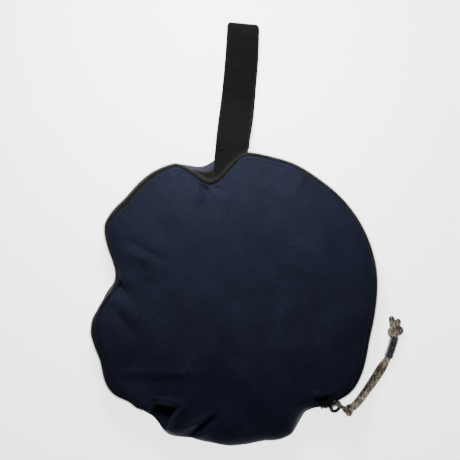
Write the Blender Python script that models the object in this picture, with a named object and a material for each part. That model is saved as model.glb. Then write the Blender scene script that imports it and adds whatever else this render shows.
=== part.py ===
"""A round zipped rope storage bag, lying on its back panel, with its webbing loop and its cord zip pull.

Metres, +Z up. The origin is the middle of the back panel's underside, +Y runs towards the webbing loop.
Every ring of the bag is turned about the Z axis, so the zip slider's path is one circle.
"""

from math import cos, hypot, pi, radians, sin

import bmesh
import bpy
from mathutils import Matrix, Vector

MM = 0.001

# The zip chain: its circle, its height, and how far the face of the chain is turned up from the side wall.
CHAIN_RADIUS = 118.0 * MM
CHAIN_HEIGHT = 28.0 * MM
CHAIN_TURN = radians(25)
ZIP_ENDS = (-51.0, 231.0)
SLIDER_ANGLE = -46.5
LID_CHAIN_ENDS = (-43.2, 223.2)
COIL_ENDS = (-49.8, 229.8)
COIL_SIZE = 2.2 * MM
COIL_FROM_MIDDLE = 1.7 * MM
COIL_MIDDLE_FACE = 1.1 * MM
STOP_WIDTH = 1.0
TAPE_THICK = 0.7 * MM

# Cloth and the turned rings
CLOTH = 1.0 * MM
TURN_STEP = 5.0
BACK_RADIUS = 116.0 * MM
BACK_THICK = 1.2 * MM
CORNER = (115.2 * MM, 1.9 * MM)
GUSSET = ((118.6, 5.0), (120.4, 9.5), (120.9, 13.5), (120.9, 15.6))
HINGE_GUSSET = ((118.6, 5.0), (120.6, 9.5), (121.2, 15.0), (121.0, 21.0), (120.0, 27.0), (118.3, 32.1))
HEM_START = 4.6 * MM
HEM_GAP = 1.7 * MM
PANEL_UNDERSIDE = ((116.3, 34.9), (112.8, 36.3), (103.0, 37.6), (80.0, 39.0), (45.0, 40.0), (0.0, 40.3))

# The hinge: the fold across the front panel between the two ends of the zip
HINGE_Y = -91.7 * MM
HINGE_HEIGHT = 40.0 * MM
FOLD_GAP = 0.6 * MM

# The webbing loop
WEBBING_WIDTH = 25.0 * MM
WEBBING_THICK = 1.3 * MM
LOOP_LEAN = radians(5.4)
LOOP_PIVOT = Vector((0.0, 127.2, 17.2)) * MM
LOOP_ANCHOR_ENDS = (84.6, 96.4)
# the webbing's middle line, out along the floor, round the fold and back: distance from the pivot, height
LOOP_LINE = (
    (0.3, 16.2), (4.8, 14.5), (12.8, 10.1), (22.8, 5.3), (34.8, 2.3), (48.8, 1.2), (68.8, 1.0), (86.8, 1.0),
    (94.8, 1.4), (98.7, 3.0), (100.0, 5.4), (98.6, 7.9), (94.4, 9.1), (86.8, 8.9), (68.8, 7.3), (48.8, 5.5),
    (34.8, 5.3), (22.8, 8.1), (12.8, 12.5), (4.8, 16.5), (0.3, 17.95),
)

# The slider, in its own frame: along the zip, across it, and out of its face
SLIDER_LENGTH = 10.0 * MM
BAIL_HALF_LENGTH = 4.9 * MM
BAIL_WIRE = 0.8 * MM
BAIL_FOOT = 4.95 * MM
BAIL_TOP = 8.3 * MM
BAIL_HOLE = 5.65 * MM

# The cord's loop round the bail, where it is drawn thin
BIGHT_RADIUS = 1.15 * MM
BIGHT_REACH = 2.9 * MM
BIGHT_RISE = 2.7 * MM
BIGHT_TURN = 118.0

# The cord pull: middle line of the two strands, from the knot at the slider to the knot at the end
STRAND_RADIUS = 1.8 * MM
STRAND_APART = 1.98 * MM
PULL_ROUTE = (
    (94.5, -91.2, 30.0), (98.8, -89.2, 26.8), (102.6, -86.2, 22.0), (106.4, -82.2, 16.6), (109.9, -78.0, 11.9),
    (113.9, -72.9, 8.1), (118.0, -67.4, 5.9), (123.0, -59.5, 5.0), (126.6, -53.8, 4.9), (129.3, -48.9, 4.95),
    (132.2, -40.5, 5.0), (134.7, -31.8, 5.0),
)
# how far the pair of strands is turned from side by side, at shares of the route
PULL_TWIST = ((0.0, 60), (0.35, 50), (0.62, 14), (0.76, 80), (1.0, 80))
RING_KNOT = ((94.5, -91.2, 30.2), (4.4, 3.6, 4.2))
END_KNOT = ((133.9, -26.6, 4.6), (5.6, 4.3, 4.2))
TAILS = {
    "cord_tail_a": ((131.6, -21.2, 4.0), (131.2, -18.2, 3.2), (130.6, -14.4, 2.4)),
    "cord_tail_b": ((135.9, -21.4, 4.2), (136.0, -19.4, 3.6), (135.7, -16.6, 2.9)),
}
SLEEVE_FROM, SLEEVE_TO = 0.775, 0.985
SLEEVE_WALL = 0.6 * MM
SLEEVE_SLACK = 0.3 * MM


def clear_scene():
    for thing in list(bpy.data.objects):
        bpy.data.objects.remove(thing, do_unlink=True)


def material(name, colour, roughness, metallic=0.0):
    """A Principled BSDF material, made once for each name."""
    made = bpy.data.materials.get(name)
    if made:
        return made
    made = bpy.data.materials.new(name)
    made.use_nodes = True
    shader = made.node_tree.nodes["Principled BSDF"]
    shader.inputs["Base Color"].default_value = (*colour, 1.0)
    shader.inputs["Roughness"].default_value = roughness
    shader.inputs["Metallic"].default_value = metallic
    made.diffuse_color = (*colour, 1.0)
    return made


def navy_cloth():
    return material("navy_cloth", (0.013, 0.018, 0.036), 0.75)


def black_tape():
    return material("black_tape", (0.009, 0.010, 0.009), 0.85)


def coil_plastic():
    return material("coil_plastic", (0.012, 0.012, 0.013), 0.45)


def webbing():
    return material("webbing", (0.013, 0.014, 0.013), 0.9)


def black_metal():
    return material("black_metal", (0.01, 0.01, 0.01), 0.35, 1.0)


def camouflage_cord():
    return material("camouflage_cord", (0.25, 0.20, 0.14), 0.9)


def sleeve_plastic():
    return material("sleeve_plastic", (0.02, 0.022, 0.025), 0.4)


def add_object(name, mesh, surface, smooth_below=40):
    """Puts a mesh in the scene as one named piece."""
    piece = bpy.data.objects.new(name, mesh)
    bpy.context.collection.objects.link(piece)
    mesh.materials.append(surface)
    mesh.shade_smooth()
    mesh.set_sharp_from_angle(angle=radians(smooth_below))
    return piece


def finish_mesh(name, bm, surface):
    """Turns all faces outwards and makes the piece."""
    bmesh.ops.recalc_face_normals(bm, faces=bm.faces)
    mesh = bpy.data.meshes.new(name)
    bm.to_mesh(mesh)
    bm.free()
    return add_object(name, mesh, surface)


def from_mm(points):
    return [tuple(value * MM for value in point) for point in points]


def chain_point(across, face):
    """(radius, height) of a point of the zip's section: across the chain towards the front, and out of its face."""
    radius = CHAIN_RADIUS - across * sin(CHAIN_TURN) + face * cos(CHAIN_TURN)
    return radius, CHAIN_HEIGHT + across * cos(CHAIN_TURN) + face * sin(CHAIN_TURN)


def offset_line(line, distance):
    """A line in a plane moved sideways by a distance, mitred at its corners."""
    moved = []
    for i, point in enumerate(line):
        before = line[max(i - 1, 0)]
        after = line[min(i + 1, len(line) - 1)]
        ways = [(point[0] - before[0], point[1] - before[1]), (after[0] - point[0], after[1] - point[1])]
        units = [(x / hypot(x, y), y / hypot(x, y)) for x, y in ways if hypot(x, y) > 0]
        x = sum(u[0] for u in units)
        y = sum(u[1] for u in units)
        length = hypot(x, y)
        mitre = distance / max(length / len(units), 0.5)
        moved.append((point[0] - y / length * mitre, point[1] + x / length * mitre))
    return moved


def band(line, thickness):
    """The closed outline of a strip of cloth of one thickness along a line."""
    return offset_line(line, thickness / 2) + offset_line(line, -thickness / 2)[::-1]


def turned_at(angle, outline, bm):
    way = Vector((cos(radians(angle)), sin(radians(angle)), 0))
    return [bm.verts.new(way * radius + Vector((0, 0, height))) for radius, height in outline]


def join_loops(bm, first, second):
    count = len(first)
    for i in range(count):
        after = (i + 1) % count
        bm.faces.new((first[i], first[after], second[after], second[i]))


def arc_piece(name, outline, ends, surface):
    """A (radius, height) outline turned from one angle to another, closed at both ends."""
    bm = bmesh.new()
    steps = max(1, round((ends[1] - ends[0]) / TURN_STEP))
    angles = [ends[0] + (ends[1] - ends[0]) * i / steps for i in range(steps + 1)]
    loops = [turned_at(angle, outline, bm) for angle in angles]
    for first, second in zip(loops, loops[1:]):
        join_loops(bm, first, second)
    bm.faces.new(loops[0])
    bm.faces.new(loops[-1])
    return finish_mesh(name, bm, surface)


def ring_piece(name, outline, surface):
    """A (radius, height) outline turned all the way round."""
    bm = bmesh.new()
    steps = round(360 / TURN_STEP)
    loops = [turned_at(360 * i / steps, outline, bm) for i in range(steps)]
    for first, second in zip(loops, loops[1:] + loops[:1]):
        join_loops(bm, first, second)
    return finish_mesh(name, bm, surface)


def disc_mesh(lower, upper):
    """A round plate between two lines of (radius, height), both running from the rim to the middle."""
    bm = bmesh.new()
    steps = round(360 / TURN_STEP)
    rings = [*lower[-2::-1], *upper[:-1]]
    bottom = bm.verts.new((0, 0, lower[-1][1]))
    top = bm.verts.new((0, 0, upper[-1][1]))
    loops = [turned_at(360 * i / steps, rings, bm) for i in range(steps)]
    for first, second in zip(loops, loops[1:] + loops[:1]):
        for i in range(len(rings) - 1):
            bm.faces.new((first[i], second[i], second[i + 1], first[i + 1]))
        bm.faces.new((first[0], bottom, second[0]))
        bm.faces.new((first[-1], second[-1], top))
    bmesh.ops.recalc_face_normals(bm, faces=bm.faces)
    return bm


def keep_side(bm, y, side):
    """Cuts a solid along a plane of one y, and keeps the part on the side given (+1 or -1)."""
    everything = [*bm.verts, *bm.edges, *bm.faces]
    cut = bmesh.ops.bisect_plane(
        bm, geom=everything, plane_co=(0, y, 0), plane_no=(0, side, 0), clear_inner=True, dist=1e-7
    )
    edges = [e for e in cut["geom_cut"] if isinstance(e, bmesh.types.BMEdge)]
    bmesh.ops.edgeloop_fill(bm, edges=edges)
    return bm


def joint_empty(name, place, parent=None):
    """An empty on a joint's axis, which the moving pieces hang from."""
    empty = bpy.data.objects.new(name, None)
    bpy.context.collection.objects.link(empty)
    empty.location = place
    if parent:
        empty.parent = parent
        empty.location = place - parent.matrix_world.translation
    bpy.context.view_layer.update()
    return empty


def hang_from(empty, pieces):
    """Parents pieces to a joint's empty, with their origins on it and their shapes left where they are."""
    for piece in pieces:
        piece.data.transform(Matrix.Translation(-empty.matrix_world.translation))
        piece.parent = empty


# ---------------------------------------------------------------- the bag's shell


def make_back_panel():
    lower = [(BACK_RADIUS, 0.0), (0.0, 0.0)]
    upper = [(BACK_RADIUS, BACK_THICK), (0.0, BACK_THICK)]
    return finish_mesh("back_panel", disc_mesh(lower, upper), navy_cloth())


def make_side_gusset():
    line = [CORNER, *from_mm(GUSSET)]
    return arc_piece("side_gusset", band(line, CLOTH), ZIP_ENDS, navy_cloth())


def make_hinge_gusset():
    """The stretch of side wall with no zip, where the front panel folds."""
    line = [CORNER, *from_mm(HINGE_GUSSET)]
    ends = (ZIP_ENDS[1] + 0.3, ZIP_ENDS[0] + 360 - 0.3)
    return arc_piece("hinge_gusset", band(line, CLOTH), ends, navy_cloth())


def make_back_seam_binding():
    outline = from_mm([(109.8, 1.6), (113.4, 1.6), (113.4, 3.0), (109.8, 3.0)])
    return ring_piece("back_seam_binding", outline, black_tape())


def make_back_zip_tape():
    line = [chain_point(-across * MM, 0.9 * MM) for across in (3.1, 5.0)]
    line += from_mm([(121.1, 21.0), (121.0, 16.4)])
    return arc_piece("back_zip_tape", band(line, TAPE_THICK), ZIP_ENDS, black_tape())


def coil_outline(across):
    """An eight-sided section of one row of coil."""
    half = COIL_SIZE / 2
    corner = half * 0.45
    steps = [(half, corner), (corner, half), (-corner, half), (-half, corner)]
    steps += [(-x, -y) for x, y in steps]
    return [chain_point(across + x, COIL_MIDDLE_FACE + y) for x, y in steps]


def make_back_zip_coil():
    return arc_piece("back_zip_coil", coil_outline(-COIL_FROM_MIDDLE), COIL_ENDS, coil_plastic())


def make_zip_stop(name, start):
    corners = [(-2.8, -0.2), (2.8, -0.2), (2.8, 2.4), (-2.8, 2.4)]
    outline = [chain_point(*corner) for corner in from_mm(corners)]
    return arc_piece(name, outline, (start, start + STOP_WIDTH), coil_plastic())


def panel_lines():
    """The underside and the top of the front panel, each from its hem to its middle."""
    under = [chain_point(HEM_START, HEM_GAP), *from_mm(PANEL_UNDERSIDE)]
    over = offset_line(under, -CLOTH)
    over[0] = chain_point(HEM_START, HEM_GAP + CLOTH)
    over[-1] = (0.0, under[-1][1] + CLOTH)
    return under, over


def make_front_hinge_flap():
    """The strip of the front panel beyond the fold, which stays with the shell."""
    solid = keep_side(disc_mesh(*panel_lines()), HINGE_Y - FOLD_GAP / 2, -1)
    return finish_mesh("front_hinge_flap", solid, navy_cloth())


def make_loop_anchor():
    """The two ends of the webbing, sewn flat over the seam between zip tape and gusset."""
    outline = from_mm([(121.8, 15.2), (124.2, 15.2), (124.2, 23.2), (121.8, 23.2)])
    return arc_piece("loop_anchor", outline, LOOP_ANCHOR_ENDS, webbing())


def make_bar_tack(name, start):
    outline = from_mm([(124.5, 16.2), (124.9, 16.2), (124.9, 22.2), (124.5, 22.2)])
    return arc_piece(name, outline, (start, start + 0.9), black_tape())


# ---------------------------------------------------------------- the lid


def make_front_panel():
    solid = keep_side(disc_mesh(*panel_lines()), HINGE_Y + FOLD_GAP / 2, 1)
    return finish_mesh("front_panel", solid, navy_cloth())


def make_front_zip_tape():
    line = [chain_point(across * MM, 0.9 * MM) for across in (3.1, 5.2)]
    line += from_mm([(115.2, 34.3), (112.2, 35.4), (107.6, 36.0)])
    return arc_piece("front_zip_tape", band(line, TAPE_THICK), LID_CHAIN_ENDS, black_tape())


def make_front_zip_coil():
    return arc_piece("front_zip_coil", coil_outline(COIL_FROM_MIDDLE), LID_CHAIN_ENDS, coil_plastic())


def make_front_seam_binding():
    outline = from_mm([(103.6, 35.2), (107.0, 35.2), (107.0, 36.5), (103.6, 36.5)])
    return arc_piece("front_seam_binding", outline, LID_CHAIN_ENDS, black_tape())


# ---------------------------------------------------------------- the slider


def slider_frame():
    """The slider's frame: X along the zip, Y across the chain towards the front, Z out of its face."""
    angle = radians(SLIDER_ANGLE)
    outward = Vector((cos(angle), sin(angle), 0))
    along = Vector((-sin(angle), cos(angle), 0))
    up = Vector((0, 0, 1))
    across = up * cos(CHAIN_TURN) - outward * sin(CHAIN_TURN)
    face = outward * cos(CHAIN_TURN) + up * sin(CHAIN_TURN)
    place = outward * CHAIN_RADIUS + up * CHAIN_HEIGHT
    return Matrix.Translation(place) @ Matrix((along, across, face)).transposed().to_4x4()


def slider_section(width):
    """Half widths and heights of the two plates, their lips and the bridge between them."""
    half = [
        (width - 0.7, 3.8), (width, 3.2), (width, 1.75), (3.15, 1.75), (3.15, 2.6), (0.25, 2.6),
        (0.25, -0.4), (3.15, -0.4), (3.15, 0.1), (width, 0.1), (width, -1.1), (width - 0.6, -1.6),
    ]
    return half + [(-x, y) for x, y in reversed(half)]


def make_slider_body():
    """Two plates joined by a thin bridge that runs between the rows of coil."""
    stations = ((-0.5, 3.55), (-0.38, 4.0), (0.0, 4.2), (0.3, 4.2), (0.42, 4.0), (0.5, 3.7))
    bm = bmesh.new()
    loops = []
    for share, width in stations:
        section = from_mm(slider_section(width))
        loops.append([bm.verts.new((share * SLIDER_LENGTH, y, z)) for y, z in section])
    for first, second in zip(loops, loops[1:]):
        join_loops(bm, first, second)
    bm.faces.new(loops[0])
    bm.faces.new(loops[-1])
    bm.transform(slider_frame())
    return finish_mesh("slider_body", bm, black_metal())


def make_slider_bail():
    """The arch over the slider's back that the cord is looped through."""
    steps = 10
    points = []
    for i in range(steps + 1):
        turn = pi * i / steps
        rise = sin(turn) ** 0.6
        points.append(Vector((-BAIL_HALF_LENGTH * cos(turn), 0, BAIL_FOOT + (BAIL_TOP - BAIL_FOOT) * rise)))
    frame = slider_frame()
    return tube("slider_bail", [frame @ point for point in points], BAIL_WIRE, black_metal())


# ---------------------------------------------------------------- cords


def smooth_route(points, spacing):
    """Points at even steps of one smooth curve through a few."""
    points = [Vector(point) for point in points]
    ends = [points[0] * 2 - points[1], *points, points[-1] * 2 - points[-2]]
    fine = []
    for a, b, c, d in zip(ends, ends[1:], ends[2:], ends[3:]):
        for i in range(20):
            u = i / 20
            fine.append(
                0.5 * (2 * b + (c - a) * u + (2 * a - 5 * b + 4 * c - d) * u**2 + (3 * b - a - 3 * c + d) * u**3)
            )
    fine.append(points[-1])
    lengths = [0.0]
    for a, b in zip(fine, fine[1:]):
        lengths.append(lengths[-1] + (b - a).length)
    count = max(2, round(lengths[-1] / spacing))
    route, i = [], 0
    for step in range(count + 1):
        wanted = lengths[-1] * step / count
        while i < len(fine) - 2 and lengths[i + 1] < wanted:
            i += 1
        share = (wanted - lengths[i]) / (lengths[i + 1] - lengths[i])
        route.append(fine[i].lerp(fine[i + 1], share))
    return route


def tube(name, points, radius, surface):
    """A round cord along points, closed at both ends."""
    curve = bpy.data.curves.new(name, "CURVE")
    curve.dimensions = "3D"
    curve.fill_mode = "FULL"
    curve.bevel_depth = radius
    curve.bevel_resolution = 2
    curve.use_fill_caps = True
    spline = curve.splines.new("POLY")
    spline.points.add(len(points) - 1)
    for point, place in zip(spline.points, points):
        point.co = (*place, 1.0)
        point.radius = 1.0
    curve.materials.append(surface)
    piece = bpy.data.objects.new(name, curve)
    bpy.context.collection.objects.link(piece)
    return piece


def pull_line():
    """The middle line of the pull, with the two directions square to it at each point."""
    route = smooth_route([Vector(point) * MM for point in PULL_ROUTE], 2.0 * MM)
    stations = []
    for i, point in enumerate(route):
        along = (route[min(i + 1, len(route) - 1)] - route[max(i - 1, 0)]).normalized()
        level = along.cross(Vector((0, 0, 1))).normalized()
        raised = level.cross(along).normalized()
        turn = radians(twist_at(i / (len(route) - 1)))
        stations.append((point, level * cos(turn) + raised * sin(turn), along))
    return stations


def twist_at(share):
    for (first, start), (second, end) in zip(PULL_TWIST, PULL_TWIST[1:]):
        if share <= second:
            u = (share - first) / (second - first)
            return start + (end - start) * u * u * (3 - 2 * u)
    return PULL_TWIST[-1][1]


def make_strand(name, side, stations):
    first = round(0.085 * (len(stations) - 1))
    points = [point + offset * STRAND_APART * side for point, offset, _ in stations[first:]]
    return tube(name, points, STRAND_RADIUS, camouflage_cord())


def make_sleeve(stations):
    """An oval tube round both strands."""
    last = len(stations) - 1
    chosen = stations[round(SLEEVE_FROM * last) : round(SLEEVE_TO * last) + 1]
    narrow = STRAND_RADIUS + SLEEVE_SLACK
    wide = narrow + STRAND_APART
    bm = bmesh.new()
    skins = []
    for wall in (0.0, SLEEVE_WALL):
        skins.append([oval_loop(bm, station, narrow + wall, wide + wall) for station in chosen])
    for skin in skins:
        for first, second in zip(skin, skin[1:]):
            join_loops(bm, first, second)
    join_loops(bm, skins[0][0], skins[1][0])
    join_loops(bm, skins[0][-1], skins[1][-1])
    return finish_mesh("cord_sleeve", bm, sleeve_plastic())


def oval_loop(bm, station, narrow, wide):
    point, offset, along = station
    side = offset.cross(along).normalized()
    straight = wide - narrow
    loop = []
    for i in range(16):
        turn = 2 * pi * (i + 0.5) / 16
        end = straight if cos(turn) > 0 else -straight
        loop.append(bm.verts.new(point + offset * (end + narrow * cos(turn)) + side * narrow * sin(turn)))
    return loop


def make_knot(name, place, radii):
    bm = bmesh.new()
    bmesh.ops.create_uvsphere(bm, u_segments=16, v_segments=10, radius=1.0)
    bm.transform(Matrix.Translation(Vector(place) * MM) @ Matrix.Diagonal((*from_mm([radii])[0], 1.0)))
    return finish_mesh(name, bm, camouflage_cord())


def bail_hole():
    return slider_frame() @ Vector((0, 0, BAIL_HOLE))


def make_bight():
    """The cord's own loop round the bail, through its hole and on both sides of it out to the knot."""
    frame = slider_frame()
    knot = frame.inverted() @ (Vector(RING_KNOT[0]) * MM)
    out = Vector((knot.x, 0, knot.z - BAIL_HOLE)).normalized()
    points = []
    for i in range(15):
        turn = radians(BIGHT_TURN * (i / 7 - 1))
        place = out * BIGHT_REACH * (1 - cos(turn)) + Vector((0, BIGHT_RISE * sin(turn), BAIL_HOLE))
        points.append(frame @ place)
    return tube("pull_bight", points, BIGHT_RADIUS, camouflage_cord())


def make_webbing_loop():
    """One length of webbing, folded back on itself at the far end."""
    line = from_mm(LOOP_LINE)
    outline = band(line, WEBBING_THICK)
    bm = bmesh.new()
    sides = []
    for side in (-0.5, 0.5):
        sides.append([bm.verts.new((WEBBING_WIDTH * side, v, z)) for v, z in outline])
    join_loops(bm, sides[0], sides[1])
    for loop in sides:
        half = len(loop) // 2
        for i in range(half - 1):
            bm.faces.new((loop[i], loop[i + 1], loop[-2 - i], loop[-1 - i]))
    place = Vector((LOOP_PIVOT.x, LOOP_PIVOT.y, 0))
    bm.transform(Matrix.Translation(place) @ Matrix.Rotation(-LOOP_LEAN, 4, "Z"))
    return finish_mesh("webbing_loop", bm, webbing())


def build_shell():
    make_back_panel()
    make_side_gusset()
    make_hinge_gusset()
    make_back_seam_binding()
    make_back_zip_tape()
    make_back_zip_coil()
    make_zip_stop("zip_top_stop", ZIP_ENDS[0])
    make_zip_stop("zip_bottom_stop", ZIP_ENDS[1] - STOP_WIDTH)
    make_front_hinge_flap()
    make_loop_anchor()
    make_bar_tack("loop_bar_tack_left", 94.7)
    make_bar_tack("loop_bar_tack_right", 85.4)


def build_lid():
    pieces = [make_front_panel(), make_front_zip_tape(), make_front_zip_coil(), make_front_seam_binding()]
    hang_from(joint_empty("lid_hinge", Vector((0, HINGE_Y, HINGE_HEIGHT))), pieces)


def build_slider_and_pull():
    travel = joint_empty("slider_travel", Vector((0, 0, CHAIN_HEIGHT)))
    hang_from(travel, [make_slider_body(), make_slider_bail()])
    swing = joint_empty("pull_swing", bail_hole(), travel)
    stations = pull_line()
    pieces = [make_bight(), make_knot("ring_knot", *RING_KNOT), make_sleeve(stations)]
    pieces += [make_strand("pull_strand_a", 1, stations), make_strand("pull_strand_b", -1, stations)]
    pieces += [make_knot("end_knot", *END_KNOT)]
    for name, route in TAILS.items():
        points = smooth_route([Vector(point) * MM for point in route], 2.0 * MM)
        pieces.append(tube(name, points, STRAND_RADIUS, camouflage_cord()))
    hang_from(swing, pieces)


def build_loop():
    hang_from(joint_empty("loop_swing", LOOP_PIVOT), [make_webbing_loop()])


clear_scene()
build_shell()
build_lid()
build_slider_and_pull()
build_loop()
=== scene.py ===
"""The looks of a round zipped rope storage bag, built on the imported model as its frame.

Shapes are worked out in millimetres and made in metres (MM). The bag lies on its back panel, +Y runs
towards the webbing loop, and angles round the rim are degrees from +X, anticlockwise from above.
"""

from math import exp, cos, pi, radians, sin

import bmesh
import bpy
import numpy as np
from mathutils import Matrix, Vector

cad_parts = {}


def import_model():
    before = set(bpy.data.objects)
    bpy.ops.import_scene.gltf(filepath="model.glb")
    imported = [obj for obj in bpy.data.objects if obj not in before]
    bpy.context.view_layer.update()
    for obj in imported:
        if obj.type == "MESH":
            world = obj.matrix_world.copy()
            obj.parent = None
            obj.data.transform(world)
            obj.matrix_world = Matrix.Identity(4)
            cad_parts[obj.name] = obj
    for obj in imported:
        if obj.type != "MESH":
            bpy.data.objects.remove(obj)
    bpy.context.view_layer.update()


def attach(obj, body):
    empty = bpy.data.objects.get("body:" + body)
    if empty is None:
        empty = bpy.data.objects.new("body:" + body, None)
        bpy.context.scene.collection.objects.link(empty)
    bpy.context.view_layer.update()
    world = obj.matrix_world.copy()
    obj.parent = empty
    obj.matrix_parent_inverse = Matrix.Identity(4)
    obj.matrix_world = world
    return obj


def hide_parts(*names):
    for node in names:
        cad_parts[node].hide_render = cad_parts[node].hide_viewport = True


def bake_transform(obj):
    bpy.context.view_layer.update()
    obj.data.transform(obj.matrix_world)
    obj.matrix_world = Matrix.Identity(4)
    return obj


MM = 0.001
UV_SPAN = 100.0  # millimetres of cloth for one unit of UV

# ---------------------------------------------------------------- the bag's sizes, in millimetres

CHAIN_RADIUS = 118.0
CHAIN_HEIGHT = 28.0
CHAIN_TURN = 25.0  # degrees that the zip's face turns up from straight outwards
ZIP_ENDS = (-50.4, 230.4)
COIL_ENDS = (-49.8, 229.8)
COIL_PITCH = 1.32
COIL_WIRE = 0.33
HINGE_Y = -91.7
TOP_HEIGHT = 40.6
PANEL_RADIUS = 117.0
CLOTH_THICK = 0.7
TAPE_THICK = 0.6

# Bumps and dents round the rim: middle angle, millimetres outwards, reach before it and after it in degrees
SHARED_RIM = (
    (348, -3.0, 25, 25), (323, 4.2, 9, 22), (33, 1.6, 30, 30), (64, 1.0, 12, 12), (123, 2.2, 12, 15),
    (146, 1.6, 10, 9), (217, 6.0, 13, 9), (235, -2.2, 8, 8), (246, 3.2, 9, 9), (270, 1.6, 12, 12),
    (290, 3.0, 8, 9), (303, -9.0, 10, 10),
)
FRONT_RIM = (*SHARED_RIM, (170.5, -23.0, 21.5, 25), (100.4, -20.5, 17.5, 14))
BACK_RIM = (*SHARED_RIM, (170.5, -21.4, 21.5, 24), (181, 2.6, 9, 10), (102, -7.6, 12, 13))
# How far the zip's face turns up towards the front, in degrees, and how its height wanders
CHAIN_TURNS = ((134, 11, 27, 28), (207, 5, 14, 18), (100, 24, 15, 13), (20, 4, 40, 40), (181, -34, 11, 12))
CHAIN_RISES = ((100, -2.0, 16, 14), (171, -3.0, 20, 22), (40, 0.8, 20, 20), (5, -0.8, 20, 20))
# How far the cloth's edge lies back from the chain's middle, over the tape
HEM_BACK = 4.6
HEM_WIDER = ((134, 3.2, 26, 26), (207, 0.6, 13, 18), (100, 0.6, 13, 12), (181, -2.6, 11, 12))
# The rim on the hinge side, where the front rolls over into the side
HINGE_RIM_RADIUS = 119.3
HINGE_RIM_HEIGHT = 24.0

# The front's lower slope begins along this line
SLOPE_EDGE = (
    (-125, 10), (-104, -8), (-92, -20), (-68, -36), (-43, -50), (-22, -42), (-10, -38), (14, -58), (39, -51),
    (80, -42), (104, -10), (125, 30),
)
SLOPE_DROP = 4.5
SLOPE_LENGTH = 42.0
# Folds in the front: height, reach on the left and on the right of its line, then the line itself
FRONT_FOLDS = (
    (-5.5, 1.6, 2.4, ((-23.0, 104), (-22.0, 92), (-19.6, 84))),
    (2.2, 4.5, 4.0, ((-30, 99), (-27.5, 88), (-27, 76))),
    (2.0, 5.0, 6.0, ((-13.5, 99), (-12.5, 88), (-10, 78))),
    (-3.0, 2.0, 4.5, ((-20, 96.5), (-14.5, 91), (-9, 88.5))),
    (-4.2, 3.5, 3.0, ((-101, 18), (-95, 14), (-88.5, 6), (-84, 1))),
    (2.4, 6.0, 5.0, ((-98, 25), (-90, 18), (-81, 11))),
    (-2.6, 5.0, 6.5, ((-103, -4), (-95, -12), (-86, -22), (-76, -32))),
    (1.5, 5.0, 7.0, ((-104, 8), (-96, 0), (-88, -8), (-80, -18))),
    (-1.3, 4.5, 6.5, ((-90, 49), (-75, 42), (-59, 33), (-50, 30))),
    (-1.0, 3.5, 5.0, ((-84, 34), (-76, 27), (-67, 19))),
    (1.0, 5.0, 5.0, ((-92, 40), (-78, 34), (-66, 27))),
    (1.5, 3.0, 3.6, ((-98, -61), (-70, -60), (-45, -61), (-18, -60))),
    (-1.1, 5.0, 5.0, ((-92, -69), (-60, -68), (-28, -68))),
    (3.0, 1.6, 3.4, ((-66, -82), (-58.5, -82.5), (-49, -84), (-40, -86.5))),
    (2.6, 2.6, 1.8, ((-40, -86), (-45, -95), (-52, -104))),
    (1.6, 1.8, 2.6, ((-79, -82.5), (-74, -85), (-66, -86.5))),
    (3.0, 2.0, 3.0, ((-46, -111), (-36, -105), (-24, -98.5), (-12, -91.5))),
    (-5.0, 3.0, 3.4, ((-38, -113.5), (-29, -108.5), (-20, -101.5), (-13, -97))),
    (2.0, 1.8, 2.6, ((-30, -116), (-20, -109), (-11, -101))),
    (2.4, 2.0, 2.6, ((64, -80), (70, -77.8), (76, -80))),
    (-5.4, 3.4, 4.0, ((70, -86), (76, -84.5), (82, -86))),
    (1.4, 4.0, 4.0, ((58, -84), (62, -92), (60, -101))),
    (-0.8, 4.0, 5.0, ((49, 104), (46, 96), (43, 86))),
    (0.7, 5.0, 5.0, ((57, 102), (53, 93), (51, 84))),
    (-1.2, 7.0, 8.0, ((-18, -22), (-10, -33), (-2, -46), (8, -58))),
    (0.9, 8.0, 8.0, ((20, -50), (45, -43), (78, -36))),
    (0.8, 6.0, 7.0, ((92, -30), (98, -48), (94, -66))),
)
# Hollows where the front is tucked in: their corners, depth and the width of their walls
POCKETS = (
    (((-64, -84.5), (-41.5, -87.4), (-54.5, -109), (-71, -97)), 9.5, 4.5),
    (((66, -80.5), (80, -79.5), (86, -84), (78, -93), (68, -90)), 6.0, 4.0),
)

# The webbing: it is sewn in behind the zip's tape, and swings about the pivot
WEBBING_WIDTH = 27.2
WEBBING_THICK = 1.3
LOOP_LEAN = radians(5.4)
LOOP_PIVOT = (-0.8, 127.2)
LOOP_REACH = 100.0
LOOP_BOW = 1.7
# its middle line from the pivot out along the floor, round the fold and back: distance, height
LOOP_UNDER = ((4.8, 14.5), (12.8, 10.1), (22.8, 5.3), (34.8, 2.3), (48.8, 1.2), (68.8, 1.0), (86.8, 1.0))
LOOP_FOLD = ((94.8, 1.4), (98.7, 3.0), (100.0, 5.4), (98.6, 7.9), (94.4, 9.1))
LOOP_OVER = ((86.8, 8.9), (68.8, 7.3), (48.8, 5.5), (34.8, 5.3), (22.8, 8.1), (12.8, 12.5), (4.8, 16.5))

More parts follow.
